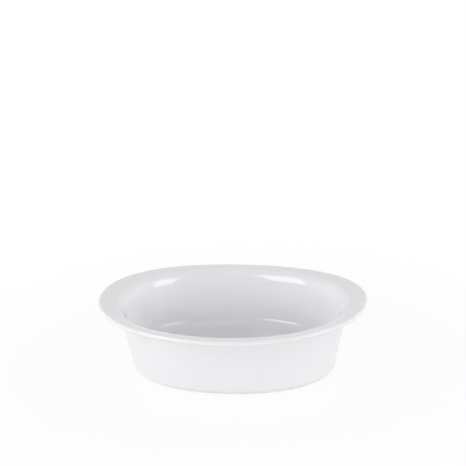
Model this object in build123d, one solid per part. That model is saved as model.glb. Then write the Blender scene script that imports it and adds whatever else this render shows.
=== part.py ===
from build123d import *
from math import ceil, cos, pi, radians, sin
import os

# Oval gratin dish of glazed porcelain, for the oven and the table.
# Lengths are millimetres. X runs along the dish, Y across it and Z up.
# The origin is the middle of the base, on the plane that the foot stands on.

# The whole dish, measured over the glaze.
LENGTH = 240.0
WIDTH = 180.0
SIDE_HEIGHT = 61.3
END_RISE = 3.7

# How far the rim stands out past the top of the outer wall, on each side and each end.
SIDE_RIM_WIDTH = 11.9
END_RIM_WIDTH = 17.5

# The walls, which lean out alike all round, the floor inside, the hollow under it and the glaze.
WALL_LEAN = 12.5
WALL_THICKNESS = 4.9
FLOOR_HEIGHT = 12.5
HOLLOW_DEPTH = 5.5
GLAZE_THICKNESS = 0.3

# The rim, level along the sides and tilted up at the ends, with a full round lip.
LIP_THICKNESS = 4.6
SIDE_TILT = 0.0
END_TILT = 11.0

# The soft turns. Each reaches this far back along the two faces that it joins.
ROLL_ON_RIM = 8.5
ROLL_ON_WALL = 11.0
UNDER_RIM_ON_RIM = 4.0
UNDER_RIM_ON_WALL = 5.5
FLOOR_TURN_ON_WALL = 7.5
FLOOR_TURN_ON_FLOOR = 14.0
BOTTOM_TURN_ON_WALL = 5.6
BOTTOM_TURN_ON_BASE = 5.6

# The foot, a bare ring left round the hollow under the floor.
FOOT_WIDTH = 4.5
FOOT_TURN = 1.2
HOLLOW_LEAN = 25.0
HOLLOW_TURN = 3.0

# How far each turn fills its corner: a half is a parabola, and more is sharper.
TURN_SHARE = 0.44
# How much fuller than an ellipse each ring is at its shoulders.
FULLNESS_SHARE = 0.011
# How far up the bottom turn the glaze is wiped off the foot.
WIPED_SHARE = 0.45

# A soft turn is lofted in this many bands, the lip in more, each through these rings.
TURN_BAND_COUNT = 3
LIP_BAND_COUNT = 6
BAND_RING_COUNT = 5
RING_POINT_COUNT = 16

# A right angle, in degrees.
QUARTER_TURN = 90


def heading(angle):
    """Direction on a template, at this many degrees above straight outwards."""
    return Vector(cos(radians(angle)), sin(radians(angle)))


def facing(direction):
    """Way that the surface faces on a stretch of a template drawn in this direction."""
    return Vector(direction.Y, -direction.X).normalized()


def meeting(point_a, direction_a, point_b, direction_b):
    """Point where two straight stretches of a template would meet."""
    side = facing(direction_b)
    return point_a + direction_a * ((point_b - point_a).dot(side) / direction_a.dot(side))


def steps(bands, first, last):
    """Even steps from first to last, enough for the rings of this many bands."""
    count = bands * (BAND_RING_COUNT - 1)
    return [first + (last - first) * step / count for step in range(count + 1)]


def straight(start, end):
    """Straight stretch of a template, as places and the way the surface faces there."""
    return [(start, facing(end - start)), (end, facing(end - start))]


def turn(start, corner, end, first_share=0, last_share=1):
    """Soft turn that leaves both straights of a corner smoothly, as a conic curve."""
    pull = TURN_SHARE / (1 - TURN_SHARE)
    stations = []
    bands = ceil(TURN_BAND_COUNT * (last_share - first_share))
    for t in steps(bands, first_share, last_share):
        near, middle, far = (1 - t) ** 2, 2 * pull * t * (1 - t), t**2
        place = (start * near + corner * middle + end * far) * (1 / (near + middle + far))
        direction = (corner - start) * (pull * (1 - t) ** 2) + (end - corner) * (pull * t**2)
        direction += (end - start) * (t * (1 - t))
        stations.append((place, facing(direction)))
    return stations


def round_lip(centre, radius, tilt):
    """Half circle round the edge of the rim, from its underside to its top."""
    turns = steps(LIP_BAND_COUNT, -QUARTER_TURN, QUARTER_TURN)
    facings = [heading(tilt + angle) for angle in turns]
    return [(centre + outwards * radius, outwards) for outwards in facings]


def template(half_size, rim_width, lip_height, tilt):
    """Section of the dish on one side of its middle, as named stretches over the glaze.

    Outwards is the first coordinate and up the second. The drawing runs from the
    hollow under the floor, over the foot and the rim, to the floor inside.
    """
    along = heading(0)
    wall = heading(QUARTER_TURN - WALL_LEAN)
    rim = heading(tilt)
    flank = heading(HOLLOW_LEAN - QUARTER_TURN)
    lip_radius = LIP_THICKNESS / 2

    # The glaze stops short of the foot. Carried on, it would reach this far below it.
    table = Vector(0, -GLAZE_THICKNESS)
    ceiling = Vector(0, HOLLOW_DEPTH)
    floor = Vector(0, FLOOR_HEIGHT)
    lip = Vector(half_size - lip_radius, lip_height - lip_radius)
    lip_under = lip + facing(rim) * lip_radius
    lip_top = lip - facing(rim) * lip_radius
    edge = Vector(half_size - rim_width, 0)
    under_rim = meeting(edge, heading(QUARTER_TURN), lip_under, rim)
    inner_wall = under_rim - facing(wall) * WALL_THICKNESS

    bottom = meeting(under_rim, wall, table, along)
    foot_outside = bottom - along * BOTTOM_TURN_ON_BASE
    foot_inside = foot_outside - along * FOOT_WIDTH
    hollow = meeting(foot_inside, flank, ceiling, along)
    roll = meeting(inner_wall, wall, lip_top, rim)
    floor_edge = meeting(inner_wall, wall, floor, along)

    wall_start = bottom + wall * BOTTOM_TURN_ON_WALL
    bottom_turn = foot_outside, bottom, wall_start
    foot_turn = foot_inside - flank * FOOT_TURN, foot_inside, foot_inside + along * FOOT_TURN
    hollow_turn = hollow - along * HOLLOW_TURN, hollow, hollow + flank * HOLLOW_TURN
    rim_turn = under_rim - wall * UNDER_RIM_ON_WALL, under_rim, under_rim + rim * UNDER_RIM_ON_RIM
    roll_turn = roll + rim * ROLL_ON_RIM, roll, roll - wall * ROLL_ON_WALL
    floor_turn = (floor_edge + wall * FLOOR_TURN_ON_WALL, floor_edge,
                  floor_edge - along * FLOOR_TURN_ON_FLOOR)
    return {
        "hollow_turn": turn(*hollow_turn),
        "hollow_flank": straight(hollow_turn[-1], foot_turn[0]),
        "foot_turn": turn(*foot_turn),
        "foot_face": straight(foot_turn[-1], foot_outside),
        "wiped_turn": turn(*bottom_turn, last_share=WIPED_SHARE),
        "bottom_turn": turn(*bottom_turn, first_share=WIPED_SHARE),
        "outer_wall": straight(wall_start, rim_turn[0]),
        "under_rim_turn": turn(*rim_turn),
        "rim_underside": straight(rim_turn[-1], lip_under),
        "lip": round_lip(lip, lip_radius, tilt),
        "rim_top": straight(lip_top, roll_turn[0]),
        "roll_turn": turn(*roll_turn),
        "inner_wall": straight(roll_turn[-1], floor_turn[0]),
        "floor_turn": turn(*floor_turn),
    }


END = template(LENGTH / 2, END_RIM_WIDTH, SIDE_HEIGHT + END_RISE, END_TILT)
SIDE = template(WIDTH / 2, SIDE_RIM_WIDTH, SIDE_HEIGHT, SIDE_TILT)


def ring(stretch, step, depth):
    """Closed oval through one place on both templates, this deep below the glazed surface."""
    end_place, end_facing = END[stretch][step]
    side_place, side_facing = SIDE[stretch][step]
    end = end_place - end_facing * depth
    side = side_place - side_facing * depth
    points = []
    for index in range(RING_POINT_COUNT):
        angle = 2 * pi * index / RING_POINT_COUNT
        along = (cos(angle) - FULLNESS_SHARE * cos(3 * angle)) / (1 - FULLNESS_SHARE)
        across = (sin(angle) + FULLNESS_SHARE * sin(3 * angle)) / (1 - FULLNESS_SHARE)
        height = side.Y + (end.Y - side.Y) * cos(angle) ** 2
        points.append(Vector(end.X * along, side.X * across, height))
    shares = [index / RING_POINT_COUNT for index in range(RING_POINT_COUNT + 1)]
    return Wire([Edge.make_spline(points, periodic=True, parameters=shares)])


def surface(stretches, depth):
    """Faces of these stretches all round the dish, this deep below the glazed surface."""
    faces = []
    for stretch in stretches:
        rings = [ring(stretch, step, depth) for step in range(len(END[stretch]))]
        for first in range(0, len(rings) - 1, BAND_RING_COUNT - 1):
            band = rings[first:first + BAND_RING_COUNT]
            faces += Shell.make_loft(band, ruled=len(band) == 2).faces()
    return faces


def cap(stretch, step, depth):
    """Flat face that closes the dish at one ring."""
    return Face(ring(stretch, step, depth))


def level_face(stretch, depth):
    """Flat face all round the dish, along one level stretch."""
    return Face(ring(stretch, -1, depth), [ring(stretch, 0, depth)])


def glaze_edge(stretch, step):
    """Narrow face where the glaze ends against the bare foot."""
    rings = [ring(stretch, step, depth) for depth in (0, GLAZE_THICKNESS)]
    return Shell.make_loft(rings, ruled=True).faces()


HOLLOW = ["hollow_turn", "hollow_flank"]
FOOT = ["foot_turn", "wiped_turn"]
COATED = ["bottom_turn", "outer_wall", "under_rim_turn", "rim_underside", "lip",
          "rim_top", "roll_turn", "inner_wall", "floor_turn"]


def porcelain_body():
    """The fired dish itself, with its foot ring and the hollow under its floor."""
    faces = surface(HOLLOW + FOOT + COATED, GLAZE_THICKNESS)
    faces += [cap("hollow_turn", 0, GLAZE_THICKNESS), cap("floor_turn", -1, GLAZE_THICKNESS)]
    faces += [level_face("foot_face", GLAZE_THICKNESS)]
    return Solid(Shell(faces))


def glaze_coat():
    """The glaze that runs from the foot up the wall, round the lip and over the inside."""
    faces = glaze_edge("bottom_turn", 0)
    for depth in (0, GLAZE_THICKNESS):
        faces += surface(COATED, depth) + [cap("floor_turn", -1, depth)]
    return Solid(Shell(faces))


def hollow_glaze():
    """The patch of glaze inside the foot ring, cut off from the rest by the bare foot."""
    faces = glaze_edge("hollow_flank", -1)
    for depth in (0, GLAZE_THICKNESS):
        faces += surface(HOLLOW, depth) + [cap("hollow_turn", 0, depth)]
    return Solid(Shell(faces))


os.makedirs("parts", exist_ok=True)
for make in (porcelain_body, glaze_coat, hollow_glaze):
    export_step(make(), f"parts/{make.__name__}.step")
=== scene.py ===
from math import cos, pi, radians, sin

import bpy
from mathutils import Matrix, Vector


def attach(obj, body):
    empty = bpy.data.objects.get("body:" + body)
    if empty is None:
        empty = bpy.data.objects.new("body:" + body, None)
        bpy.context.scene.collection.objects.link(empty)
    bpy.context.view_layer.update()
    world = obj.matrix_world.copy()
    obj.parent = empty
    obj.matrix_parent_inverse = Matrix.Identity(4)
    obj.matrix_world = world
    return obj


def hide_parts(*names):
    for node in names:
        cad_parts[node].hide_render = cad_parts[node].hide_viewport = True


# Deep oval gratin dish of white glazed porcelain, on a pale table in soft studio light.
# Lengths are metres. X runs along the dish, Y across it and Z up.
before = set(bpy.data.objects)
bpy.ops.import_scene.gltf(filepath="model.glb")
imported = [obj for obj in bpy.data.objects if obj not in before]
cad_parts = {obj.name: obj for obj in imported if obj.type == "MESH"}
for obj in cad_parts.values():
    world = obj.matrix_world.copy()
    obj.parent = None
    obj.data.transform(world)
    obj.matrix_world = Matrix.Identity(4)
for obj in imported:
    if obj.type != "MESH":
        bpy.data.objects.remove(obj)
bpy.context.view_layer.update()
MM = 0.001

# A right angle, in degrees.
QUARTER_TURN = 90

# The dish over its glaze, with the same sizes as the solids.
LENGTH = 240.0 * MM
WIDTH = 180.0 * MM
SIDE_HEIGHT = 61.3 * MM
END_RISE = 3.7 * MM
SIDE_RIM_WIDTH = 11.9 * MM
END_RIM_WIDTH = 17.5 * MM
WALL_LEAN = 12.5
WALL_THICKNESS = 4.9 * MM
FLOOR_HEIGHT = 12.5 * MM
HOLLOW_DEPTH = 5.5 * MM
GLAZE_THICKNESS = 0.3 * MM
LIP_THICKNESS = 4.6 * MM
SIDE_TILT = 0.0
END_TILT = 11.0
ROLL_ON_RIM = 8.5 * MM
ROLL_ON_WALL = 11.0 * MM
UNDER_RIM_ON_RIM = 4.0 * MM
UNDER_RIM_ON_WALL = 5.5 * MM
FLOOR_TURN_ON_WALL = 7.5 * MM
FLOOR_TURN_ON_FLOOR = 14.0 * MM
BOTTOM_TURN_ON_WALL = 5.6 * MM
BOTTOM_TURN_ON_BASE = 5.6 * MM
FOOT_WIDTH = 4.5 * MM
FOOT_TURN = 1.2 * MM
HOLLOW_LEAN = 25.0
HOLLOW_TURN = 3.0 * MM
TURN_SHARE = 0.44
FULLNESS_SHARE = 0.011
WIPED_SHARE = 0.45

# How finely the templates are stepped, how many columns go round the dish, and how close
# points lie that become one.
TURN_STEPS = 18
LIP_STEPS = 28
STRAIGHT_STEPS = 6
BEAD_STEPS = 6
COLUMNS = 288
MERGE_DISTANCE = 0.001 * MM

# How thick the glaze lies on each stretch, where 0 is plain: it runs off the lip and
# gathers in the turns.
RUN_OFF = -1.0
GATHERED_FULLY = 1.0
GATHERED = {"lip": RUN_OFF, "floor_turn": GATHERED_FULLY, "under_rim_turn": 0.6,
            "hollow_turn": 0.5}

# The middle of a noise's values, and the part of them over which clouds of tint change.
NOISE_MIDDLE = 0.5
CLOUD_RANGE = (0.3, 0.7)

# How many ever finer layers a noise has over its first.
SMOOTH, SOFT, FINE, FINEST = 1.0, 2.0, 3.0, 4.0

# The glaze: two clouded tints, one where it gathers, one where it runs off, how unevenly
# these lie, the slow ripple and fine peel of its surface, and its gloss.
GLAZE_TINT = (0.80, 0.796, 0.818, 1)
GLAZE_PALER_TINT = (0.812, 0.808, 0.830, 1)
GLAZE_CLOUD_SIZE = 45 * MM
GATHERED_TINT = (0.775, 0.782, 0.806, 1)
GATHERED_TINT_SHARE = 0.6
GATHERED_UNEVENNESS = 0.5
GATHERED_RANGE = (0.0, GATHERED_FULLY)
THIN_TINT = (0.815, 0.803, 0.808, 1)
THIN_TINT_SHARE = 0.5
THIN_UNEVENNESS = 0.4
THIN_RANGE = (0.2, 1.0)
RIPPLE_SIZE = 24 * MM
RIPPLE_HEIGHT = 0.02 * MM
PEEL_SIZE = 1.8 * MM
PEEL_HEIGHT = 0.0006 * MM
GLAZE_ROUGHNESS = 0.01
GLAZE_CLOUD_ROUGHNESS = 0.01
GLAZE_IOR = 1.8

# The bare foot: two clouded tints, a fine grain, brown specks in its darker clouds, and grey
# rub marks.
BARE_TINT = (0.80, 0.77, 0.71, 1)
BARE_DARKER_TINT = (0.74, 0.71, 0.655, 1)
BARE_CLOUD_SIZE = 18 * MM
GRAIN_SIZE = 0.5 * MM
GRAIN_HEIGHT = 0.03 * MM
BARE_ROUGHNESS = 0.6
GRAIN_ROUGHNESS = 0.25
SPECK_TINT = (0.42, 0.37, 0.31, 1)
SPECK_SPACING = 2.2 * MM
SPECK_EDGE_RANGE = (0.05, 0.11)
SPECKLED_RANGE = (0.45, 0.7)
RUBBED_TINT = (0.56, 0.55, 0.54, 1)
RUBBED_TINT_SHARE = 0.35
RUB_SIZE = 6 * MM
RUBBED_RANGE = (0.5, 0.68)

# The photograph: its side and focal length in pixels, where the dish's origin shows in it,
# how far off the camera stands, and how it looks down, leans and goes round the dish.
PHOTO_SIDE = 466
FOCAL_PIXELS = 2500.0
ORIGIN_PIXEL = (234.89, 364.69)
CAMERA_DISTANCE = 2.23942
CAMERA_PITCH = 21.0
CAMERA_ROLL = -2.26
CAMERA_TURN = -10.83
SENSOR_WIDTH = 36.0

# The sheet on the table: how far it reaches, its two tints and fibre, the share of plain
# white in what is seen of it near the dish, and the distances from the dish's middle
# between which that grows to all of it.
TABLE_REACH = 5.0
SHEET_TINT = (0.84, 0.84, 0.845, 1)
SHEET_PALER_TINT = (0.86, 0.86, 0.865, 1)
FIBRE_SIZE = 1.5 * MM
NEAR_WHITE_SHARE = 0.9
WHITENING_RANGE = (0.12, 0.35)
WHITE = (1, 1, 1, 1)

# The room: how bright it lights the dish, how bright its front looks in the glaze, where the
# part behind the dish is 1, and where one turns into the other, from -1 in front to 1 behind.
ROOM_LIGHT = 0.239
FRONT_BRIGHTNESS = 0.5
FRONT_TO_BACK_RANGE = (-0.5, 0.1)

# Rectangular soft lamps that face the dish: bearing from the camera, rightwards, and
# elevation, in degrees, then distance, width and height in metres, and brightness, where 1
# is white. The glaze mirrors the two softboxes. The others only fill.
SOFTBOXES = (
    ("left_softbox", -56, 39, 1.3, 0.72, 0.80, 2.2),
    ("right_softbox", 58, 39, 1.3, 0.64, 0.80, 2.3),
)
FILLING_LAMPS = (
    ("left_wall", -110, 20, 1.6, 2.4, 0.5, 4.35),
    ("right_wall", 110, 20, 1.6, 2.4, 0.5, 3.82),
    ("front_wall", 0, 10, 1.6, 1.4, 0.6, 3.71),
)


# The templates of the dish.


def heading(angle):
    """Direction on a template, at this many degrees above straight outwards."""
    return Vector((cos(radians(angle)), sin(radians(angle))))


def facing(direction):
    """Way that the surface faces on a stretch of a template drawn in this direction."""
    return Vector((direction.y, -direction.x)).normalized()


def meeting(point_a, direction_a, point_b, direction_b):
    """Point where two straight stretches of a template would meet."""
    side = facing(direction_b)
    return point_a + direction_a * ((point_b - point_a).dot(side) / direction_a.dot(side))


def shares(count, first=0.0, last=1.0):
    """Even steps from first to last."""
    return [first + (last - first) * step / count for step in range(count + 1)]


def straight(start, end):
    """Straight stretch of a template, as places and the way the surface faces there."""
    return [(start.lerp(end, share), facing(end - start)) for share in shares(STRAIGHT_STEPS)]


def turn(start, corner, end, first=0.0, last=1.0):
    """Soft turn that leaves both straights of a corner smoothly, as a conic curve."""
    pull = TURN_SHARE / (1 - TURN_SHARE)
    stations = []
    for t in shares(TURN_STEPS, first, last):
        near, middle, far = (1 - t) ** 2, 2 * pull * t * (1 - t), t**2
        place = (start * near + corner * middle + end * far) / (near + middle + far)
        direction = (corner - start) * (pull * (1 - t) ** 2) + (end - corner) * (pull * t**2)
        direction += (end - start) * (t * (1 - t))
        stations.append((place, facing(direction)))
    return stations


def round_lip(centre, radius, tilt):
    """Half circle round the edge of the rim, from its underside to its top."""
    angles = shares(LIP_STEPS, -QUARTER_TURN, QUARTER_TURN)
    facings = [heading(tilt + angle) for angle in angles]
    return [(centre + outwards * radius, outwards) for outwards in facings]


def template(half_size, rim_width, lip_height, tilt):
    """Section of the dish on one side of its middle, as named stretches over the glaze.

    Outwards is the first coordinate and up the second. The drawing runs from the
    hollow under the floor, over the foot and the rim, to the middle of the floor inside.
    """
    along = heading(0)
    wall = heading(QUARTER_TURN - WALL_LEAN)
    rim = heading(tilt)
    flank = heading(HOLLOW_LEAN - QUARTER_TURN)
    lip_radius = LIP_THICKNESS / 2

    # The glaze stops short of the foot. Carried on, it would reach this far below it.
    table = Vector((0, -GLAZE_THICKNESS))
    ceiling = Vector((0, HOLLOW_DEPTH))
    floor = Vector((0, FLOOR_HEIGHT))
    lip = Vector((half_size - lip_radius, lip_height - lip_radius))
    lip_under = lip + facing(rim) * lip_radius
    lip_top = lip - facing(rim) * lip_radius
    edge = Vector((half_size - rim_width, 0))
    under_rim = meeting(edge, heading(QUARTER_TURN), lip_under, rim)
    inner_wall = under_rim - facing(wall) * WALL_THICKNESS

    bottom = meeting(under_rim, wall, table, along)
    foot_outside = bottom - along * BOTTOM_TURN_ON_BASE
    foot_inside = foot_outside - along * FOOT_WIDTH
    hollow = meeting(foot_inside, flank, ceiling, along)
    roll = meeting(inner_wall, wall, lip_top, rim)
    floor_edge = meeting(inner_wall, wall, floor, along)

    wall_start = bottom + wall * BOTTOM_TURN_ON_WALL
    bottom_turn = foot_outside, bottom, wall_start
    foot_turn = foot_inside - flank * FOOT_TURN, foot_inside, foot_inside + along * FOOT_TURN
    hollow_turn = hollow - along * HOLLOW_TURN, hollow, hollow + flank * HOLLOW_TURN
    rim_turn = under_rim - wall * UNDER_RIM_ON_WALL, under_rim, under_rim + rim * UNDER_RIM_ON_RIM
    roll_turn = roll + rim * ROLL_ON_RIM, roll, roll - wall * ROLL_ON_WALL
    floor_turn = (floor_edge + wall * FLOOR_TURN_ON_WALL, floor_edge,
                  floor_edge - along * FLOOR_TURN_ON_FLOOR)
    return {
        "hollow_ceiling": straight(ceiling, hollow_turn[0]),
        "hollow_turn": turn(*hollow_turn),
        "hollow_flank": straight(hollow_turn[-1], foot_turn[0]),
        "foot_turn": turn(*foot_turn),
        "foot_face": straight(foot_turn[-1], foot_outside),
        "wiped_turn": turn(*bottom_turn, last=WIPED_SHARE),
        "bottom_turn": turn(*bottom_turn, first=WIPED_SHARE),
        "outer_wall": straight(wall_start, rim_turn[0]),
        "under_rim_turn": turn(*rim_turn),
        "rim_underside": straight(rim_turn[-1], lip_under),
        "lip": round_lip(lip, lip_radius, tilt),
        "rim_top": straight(lip_top, roll_turn[0]),
        "roll_turn": turn(*roll_turn),
        "inner_wall": straight(roll_turn[-1], floor_turn[0]),
        "floor_turn": turn(*floor_turn),
        "floor": straight(floor_turn[-1], floor),
    }


END = template(LENGTH / 2, END_RIM_WIDTH, SIDE_HEIGHT + END_RISE, END_TILT)
SIDE = template(WIDTH / 2, SIDE_RIM_WIDTH, SIDE_HEIGHT, SIDE_TILT)
HOLLOW = ["hollow_ceiling", "hollow_turn", "hollow_flank"]
FOOT = ["foot_turn", "foot_face", "wiped_turn"]
COATED = ["bottom_turn", "outer_wall", "under_rim_turn", "rim_underside", "lip",
          "rim_top", "roll_turn", "inner_wall", "floor_turn", "floor"]


def skin(stretches, depth):
    """Stations of these stretches, this deep below the glazed surface.

    A station is a place on the end's template, its twin on the side's, and how thick
    the glaze lies there.
    """
    stations = []
    for stretch in stretches:
        count = len(END[stretch])
        for step in range(count):
            if step == 0 and stations:
                continue
            places = [place - outwards * depth
                      for place, outwards in (END[stretch][step], SIDE[stretch][step])]
            swell = sin(pi * step / (count - 1)) ** 2
            stations.append((*places, GATHERED.get(stretch, 0.0) * swell))
    return stations


def bead(stretch, step, way):
    """Stations of the soft round edge where the glaze ends, from its underside to its top.

    It bulges past the start of the stretch where way is -1, and past its end where it is 1.
    """
    stations = []
    for share in shares(BEAD_STEPS)[1:-1]:
        depth = GLAZE_THICKNESS / 2 * (1 + cos(pi * share))
        out = GLAZE_THICKNESS / 2 * sin(pi * share) * way
        places = []
        for place, outwards in (END[stretch][step], SIDE[stretch][step]):
            along = Vector((-outwards.y, outwards.x))
            places.append(place - outwards * depth + along * out)
        stations.append((*places, RUN_OFF))
    return stations


# Node trees, with sums written as plain Python.


class Value:
    """A number passed between nodes. Arithmetic on values adds the Math nodes for it."""

    def __init__(self, tree, socket):
        self.tree, self.socket = tree, socket

    def math(self, operation, *others):
        """What a Math node makes of this value and the others."""
        return self.tree.math(operation, self, *others)

    def __add__(self, other):
        return self.tree.math("ADD", self, other)

    def __radd__(self, other):
        return self.tree.math("ADD", other, self)

    def __sub__(self, other):
        return self.tree.math("SUBTRACT", self, other)

    def __rsub__(self, other):
        return self.tree.math("SUBTRACT", other, self)

    def __mul__(self, other):
        return self.tree.math("MULTIPLY", self, other)

    def __rmul__(self, other):
        return self.tree.math("MULTIPLY", other, self)

    def __truediv__(self, other):
        return self.tree.math("DIVIDE", self, other)

    def __rtruediv__(self, other):
        return self.tree.math("DIVIDE", other, self)


# Sockets of the Mix node for colours, which go by number because they share their names.
MIX_FACTOR, MIX_COLOUR_A, MIX_COLOUR_B = 0, 6, 7
MIX_COLOUR = 2


class Tree:
    """A node tree under construction."""

    def __init__(self, group):
        self.group = group

    def add(self, kind, settings, inputs, output=0):
        """Adds a node, sets it, fills its sockets with values or links, and gives an output.

        A node that takes the tree's result has no output, and gives nothing.
        """
        node = self.group.nodes.new(kind)
        for name, setting in settings.items():
            setattr(node, name, setting)
        for name, value in inputs.items():
            if isinstance(value, Value):
                self.group.links.new(value.socket, node.inputs[name])
            else:
                node.inputs[name].default_value = value
        return Value(self, node.outputs[output]) if len(node.outputs) else None

    def math(self, operation, *values):
        """What a Math node makes of these values."""
        return self.add("ShaderNodeMath", {"operation": operation}, dict(enumerate(values)))

    def mix(self, factor, colour_a, colour_b):
        """Colour between two colours."""
        inputs = {MIX_FACTOR: factor, MIX_COLOUR_A: colour_a, MIX_COLOUR_B: colour_b}
        return self.add("ShaderNodeMix", {"data_type": "RGBA"}, inputs, MIX_COLOUR)

    def mix_shaders(self, factor, shader_a, shader_b):
        """Shader between two shaders."""
        return self.add("ShaderNodeMixShader", {}, dict(enumerate((factor, shader_a, shader_b))))

    def noise(self, place, size, layers=SOFT):
        """Soft random values, with patches about this large."""
        inputs = {"Vector": place, "Scale": 1 / size, "Detail": layers}
        return self.add("ShaderNodeTexNoise", {}, inputs)

    def ramp(self, value, low, high):
        """Value stretched so that low becomes 0 and high becomes 1."""
        inputs = {"Value": value, "From Min": low, "From Max": high}
        return self.add("ShaderNodeMapRange", {"interpolation_type": "SMOOTHSTEP"}, inputs)

    def bump(self, height):
        """Way that a surface faces where its height varies like this, in metres."""
        return self.add("ShaderNodeBump", {}, {"Height": height, "Distance": 1.0, "Strength": 1.0})

    def vector_number(self, operation, *vectors):
        """Number that a Vector Math node makes of these vectors."""
        settings, inputs = {"operation": operation}, dict(enumerate(vectors))
        return self.add("ShaderNodeVectorMath", settings, inputs, "Value")

    def ray(self, kind):
        """1 where the ray is of this kind."""
        return self.add("ShaderNodeLightPath", {}, {}, f"Is {kind} Ray")

    def mirrored(self):
        """1 for what is seen by reflection or through glass."""
        return self.ray("Glossy").math("MAXIMUM", self.ray("Transmission"))

    def seen(self):
        """1 for what the camera sees, also by reflection or through glass, and 0 for light."""
        return self.ray("Camera").math("MAXIMUM", self.mirrored())


def empty_tree(holder):
    """Emptied node tree of a material or a world."""
    holder.use_nodes = True
    holder.node_tree.nodes.clear()
    return Tree(holder.node_tree)


def new_finish(name):
    """New material, its empty tree, and the object's own coordinates in it."""
    material = bpy.data.materials.new(name)
    tree = empty_tree(material)
    return material, tree, tree.add("ShaderNodeTexCoord", {}, {}, "Object")


# The finishes.


def glaze_finish():
    """Clear gloss over white porcelain: cool white, thinner on the lip, fuller in the turns."""
    material, tree, place = new_finish("white_glaze")
    gathered = tree.add("ShaderNodeAttribute", {"attribute_name": "gathered"}, {}, "Fac")
    cloud = tree.noise(place, GLAZE_CLOUD_SIZE)
    uneven = cloud - NOISE_MIDDLE
    full = tree.ramp(gathered + uneven * GATHERED_UNEVENNESS, *GATHERED_RANGE)
    thin = tree.ramp(uneven * THIN_UNEVENNESS - gathered, *THIN_RANGE)
    colour = tree.mix(tree.ramp(cloud, *CLOUD_RANGE), GLAZE_TINT, GLAZE_PALER_TINT)
    colour = tree.mix(full * GATHERED_TINT_SHARE, colour, GATHERED_TINT)
    colour = tree.mix(thin * THIN_TINT_SHARE, colour, THIN_TINT)
    ripple = tree.noise(place, RIPPLE_SIZE, SMOOTH)
    peel = tree.noise(place, PEEL_SIZE, SMOOTH)
    shader = tree.add("ShaderNodeBsdfPrincipled", {}, {
        "Base Color": colour, "Roughness": GLAZE_ROUGHNESS + cloud * GLAZE_CLOUD_ROUGHNESS,
        "IOR": GLAZE_IOR, "Normal": tree.bump(ripple * RIPPLE_HEIGHT + peel * PEEL_HEIGHT)})
    tree.add("ShaderNodeOutputMaterial", {}, {"Surface": shader})
    return material


def bare_finish():
    """Dry porcelain of the foot: warm white, fine-grained, with grey rub marks."""
    material, tree, place = new_finish("bare_porcelain")
    grain = tree.noise(place, GRAIN_SIZE, FINE)
    cloud = tree.noise(place, BARE_CLOUD_SIZE)
    colour = tree.mix(tree.ramp(cloud, *CLOUD_RANGE), BARE_TINT, BARE_DARKER_TINT)
    speck = tree.add("ShaderNodeTexVoronoi", {}, {"Vector": place, "Scale": 1 / SPECK_SPACING})
    specks = 1 - tree.ramp(speck, *SPECK_EDGE_RANGE)
    colour = tree.mix(specks * tree.ramp(cloud, *SPECKLED_RANGE), colour, SPECK_TINT)
    rubbed = tree.ramp(tree.noise(place, RUB_SIZE, FINEST), *RUBBED_RANGE)
    colour = tree.mix(rubbed * RUBBED_TINT_SHARE, colour, RUBBED_TINT)
    shader = tree.add("ShaderNodeBsdfPrincipled", {}, {
        "Base Color": colour, "Roughness": BARE_ROUGHNESS + grain * GRAIN_ROUGHNESS,
        "Normal": tree.bump(grain * GRAIN_HEIGHT)})
    tree.add("ShaderNodeOutputMaterial", {}, {"Surface": shader})
    return material


# The dish, carried round from its templates.

OVAL_INPUTS = {"Templates": "NodeSocketGeometry", "Columns": "NodeSocketInt",
               "Fullness Share": "NodeSocketFloat", "Finish": "NodeSocketMaterial"}


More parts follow.
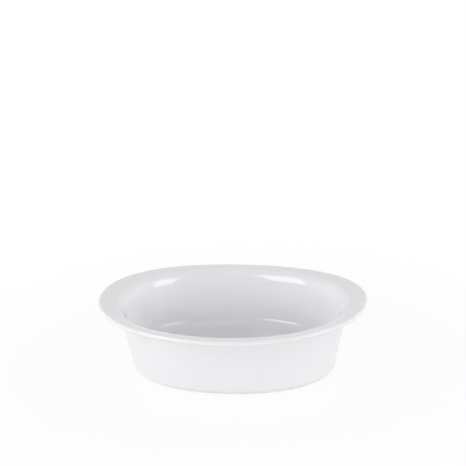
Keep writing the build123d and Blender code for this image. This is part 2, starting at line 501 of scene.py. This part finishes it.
def oval_tree():
    """Geometry tree that carries a strip of template stations all round the oval."""
    group = bpy.data.node_groups.new("oval_from_templates", "GeometryNodeTree")
    tree = Tree(group)
    for name, kind in OVAL_INPUTS.items():
        group.interface.new_socket(name, in_out="INPUT", socket_type=kind)
    group.interface.new_socket("Dish", in_out="OUTPUT", socket_type="NodeSocketGeometry")
    given = group.nodes.new("NodeGroupInput")
    strip, columns, fullness, finish = [Value(tree, given.outputs[name]) for name in OVAL_INPUTS]

    # A grid with a row for each station. Its points are numbered column by column.
    rows = tree.add("GeometryNodeAttributeDomainSize", {}, {"Geometry": strip})
    grid = tree.add("GeometryNodeMeshGrid", {}, {"Vertices X": columns + 1, "Vertices Y": rows})
    index = tree.add("GeometryNodeInputIndex", {}, {})
    row = index.math("FLOORED_MODULO", rows)
    angle = (index / rows).math("FLOOR") / columns * (2 * pi)

    def read(name, kind):
        """What the station of this row holds under this name."""
        values = tree.add("GeometryNodeInputNamedAttribute", {"data_type": kind}, {"Name": name})
        inputs = {"Geometry": strip, "Value": values, "Index": row}
        return tree.add("GeometryNodeSampleIndex", {"data_type": kind}, inputs)

    def split(place):
        """Outwards and up of a template's place."""
        return [tree.add("ShaderNodeSeparateXYZ", {}, {"Vector": place}, part) for part in "XZ"]

    end_out, end_up = split(read("end_place", "FLOAT_VECTOR"))
    side_out, side_up = split(read("side_place", "FLOAT_VECTOR"))
    along = angle.math("COSINE") - fullness * (angle * 3).math("COSINE")
    across = angle.math("SINE") + fullness * (angle * 3).math("SINE")
    height = side_up + (end_up - side_up) * angle.math("COSINE").math("POWER", 2)
    place = tree.add("ShaderNodeCombineXYZ", {}, {
        "X": end_out * along / (1 - fullness), "Y": side_out * across / (1 - fullness),
        "Z": height})
    dish = tree.add("GeometryNodeSetPosition", {}, {"Geometry": grid, "Position": place})
    dish = tree.add("GeometryNodeStoreNamedAttribute", {"domain": "POINT"}, {
        "Geometry": dish, "Name": "gathered", "Value": read("gathered", "FLOAT")})
    dish = tree.add("GeometryNodeMergeByDistance", {}, {
        "Geometry": dish, "Distance": MERGE_DISTANCE})
    dish = tree.add("GeometryNodeSetShadeSmooth", {}, {"Geometry": dish})
    dish = tree.add("GeometryNodeRealizeInstances", {}, {"Geometry": dish})
    dish = tree.add("GeometryNodeSetMaterial", {}, {"Geometry": dish, "Material": finish})
    tree.add("NodeGroupOutput", {}, {"Dish": dish})
    return group


def carried_round(name, stations, finish):
    """Closed piece from a strip of stations, carried round the oval."""
    strip = bpy.data.meshes.new(name + "_templates")
    rows = len(stations)
    strip.from_pydata([(0, 0, 0)] * rows, [(row, row + 1) for row in range(rows - 1)], [])
    end_places, side_places, amounts = zip(*stations)
    for attribute, places in (("end_place", end_places), ("side_place", side_places)):
        layer = strip.attributes.new(attribute, "FLOAT_VECTOR", "POINT")
        for row, place in enumerate(places):
            layer.data[row].vector = (place.x, 0, place.y)
    layer = strip.attributes.new("gathered", "FLOAT", "POINT")
    for row, amount in enumerate(amounts):
        layer.data[row].value = amount

    maker = bpy.data.objects.new(name + "_maker", strip)
    bpy.context.scene.collection.objects.link(maker)
    modifier = maker.modifiers.new("oval", "NODES")
    modifier.node_group = OVAL
    given = {"Columns": COLUMNS, "Fullness Share": FULLNESS_SHARE, "Finish": finish}
    for socket in OVAL.interface.items_tree:
        if socket.in_out == "INPUT" and socket.name in given:
            modifier[socket.identifier] = given[socket.name]
    ready = maker.evaluated_get(bpy.context.evaluated_depsgraph_get())
    mesh = bpy.data.meshes.new_from_object(ready)
    mesh.name = name
    bpy.data.objects.remove(maker)
    piece = bpy.data.objects.new(name, mesh)
    bpy.context.scene.collection.objects.link(piece)
    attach(piece, "root")
    return piece


OVAL = oval_tree()
GLAZE = glaze_finish()
BARE = bare_finish()

coat = carried_round("glaze_over_dish", [
    *reversed(skin(COATED, GLAZE_THICKNESS)), *bead("bottom_turn", 0, -1), *skin(COATED, 0)], GLAZE)
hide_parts("glaze_coat")

patch = carried_round("glaze_in_hollow", [
    *skin(HOLLOW, 0), *reversed(bead("hollow_flank", -1, 1)),
    *reversed(skin(HOLLOW, GLAZE_THICKNESS))], GLAZE)
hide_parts("hollow_glaze")

body = carried_round("porcelain_dish", skin(HOLLOW + FOOT + COATED, GLAZE_THICKNESS), BARE)
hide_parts("porcelain_body")


# The camera, as the photograph was taken.


def camera_turn():
    """Rotation whose rows are the camera's right, up and back, in the dish's frame."""
    pitch, roll, yaw = radians(CAMERA_PITCH), radians(CAMERA_ROLL), radians(CAMERA_TURN)
    down = Matrix(((1, 0, 0), (0, sin(pitch), cos(pitch)), (0, -cos(pitch), sin(pitch))))
    lean = Matrix(((cos(roll), sin(roll), 0), (-sin(roll), cos(roll), 0), (0, 0, 1)))
    around = Matrix(((cos(yaw), -sin(yaw), 0), (sin(yaw), cos(yaw), 0), (0, 0, 1)))
    return lean @ down @ around


def make_camera():
    """Camera that shows the dish's origin at its pixel in the photograph."""
    camera = bpy.data.objects.new("camera", bpy.data.cameras.new("camera"))
    bpy.context.scene.collection.objects.link(camera)
    camera.data.sensor_width = SENSOR_WIDTH
    camera.data.lens = FOCAL_PIXELS * SENSOR_WIDTH / PHOTO_SIDE
    rows = camera_turn()
    middle = PHOTO_SIDE / 2
    right = (ORIGIN_PIXEL[0] - middle) / FOCAL_PIXELS * CAMERA_DISTANCE
    up = (middle - ORIGIN_PIXEL[1]) / FOCAL_PIXELS * CAMERA_DISTANCE
    place = -(rows.transposed() @ Vector((right, up, -CAMERA_DISTANCE)))
    camera.matrix_world = Matrix.Translation(place) @ rows.transposed().to_4x4()
    bpy.context.scene.camera = camera


# The table, the room and the lamps.


def toward(bearing, elevation):
    """Direction from the dish: degrees round from the camera, rightwards, and up."""
    ahead = camera_turn().transposed() @ Vector((0, 0, 1))
    ahead.z = 0
    ahead = Matrix.Rotation(radians(bearing), 3, "Z") @ ahead.normalized()
    return ahead * cos(radians(elevation)) + Vector((0, 0, sin(radians(elevation))))


def make_table():
    """Pale sheet that the dish stands on. The camera sees its far parts as plain white."""
    low, high = -TABLE_REACH, TABLE_REACH
    mesh = bpy.data.meshes.new("table")
    mesh.from_pydata([(low, low, 0), (high, low, 0), (high, high, 0), (low, high, 0)],
                     [], [(0, 1, 2, 3)])
    table = bpy.data.objects.new("table", mesh)
    bpy.context.scene.collection.objects.link(table)
    material, tree, place = new_finish("pale_sheet")
    fibre = tree.noise(place, FIBRE_SIZE, FINE)
    colour = tree.mix(fibre, SHEET_TINT, SHEET_PALER_TINT)
    matt = tree.add("ShaderNodeBsdfDiffuse", {}, {"Color": colour})
    plain = tree.add("ShaderNodeEmission", {}, {"Color": WHITE, "Strength": 1.0})
    far = tree.ramp(tree.vector_number("LENGTH", place), *WHITENING_RANGE)
    whiteness = NEAR_WHITE_SHARE + (1 - NEAR_WHITE_SHARE) * far
    shader = tree.mix_shaders(whiteness * tree.seen(), matt, plain)
    tree.add("ShaderNodeOutputMaterial", {}, {"Surface": shader})
    mesh.materials.append(material)


def make_room():
    """Room that looks white behind the dish and dimmer in front, and lights it dimly."""
    world = bpy.data.worlds.new("room")
    bpy.context.scene.world = world
    tree = empty_tree(world)
    way = tree.add("ShaderNodeTexCoord", {}, {}, "Generated")
    behind = tree.vector_number("DOT_PRODUCT", way, toward(2 * QUARTER_TURN, 0))
    far = tree.ramp(behind, *FRONT_TO_BACK_RANGE)
    in_glaze = FRONT_BRIGHTNESS + (1 - FRONT_BRIGHTNESS) * far
    looks = tree.ray("Camera").math("MAXIMUM", tree.mirrored() * in_glaze)
    glow = tree.add("ShaderNodeBackground", {}, {
        "Color": WHITE, "Strength": looks + (1 - tree.seen()) * ROOM_LIGHT})
    tree.add("ShaderNodeOutputWorld", {}, {"Surface": glow})


def make_lamp(name, bearing, elevation, distance, width, height, brightness):
    """Rectangular soft lamp that faces the dish. Brightness is its radiance, where 1 is white."""
    lamp = bpy.data.lights.new(name, "AREA")
    lamp.shape = "RECTANGLE"
    lamp.size, lamp.size_y = width, height
    lamp.energy = brightness * pi * width * height
    holder = bpy.data.objects.new(name, lamp)
    bpy.context.scene.collection.objects.link(holder)
    way = toward(bearing, elevation)
    holder.matrix_world = (Matrix.Translation(way * distance)
                           @ way.to_track_quat("Z", "Y").to_matrix().to_4x4())
    return holder


make_camera()
make_table()
make_room()
for setting in SOFTBOXES:
    make_lamp(*setting)
for setting in FILLING_LAMPS:
    make_lamp(*setting).visible_glossy = False
bpy.context.scene.view_settings.view_transform = "Standard"
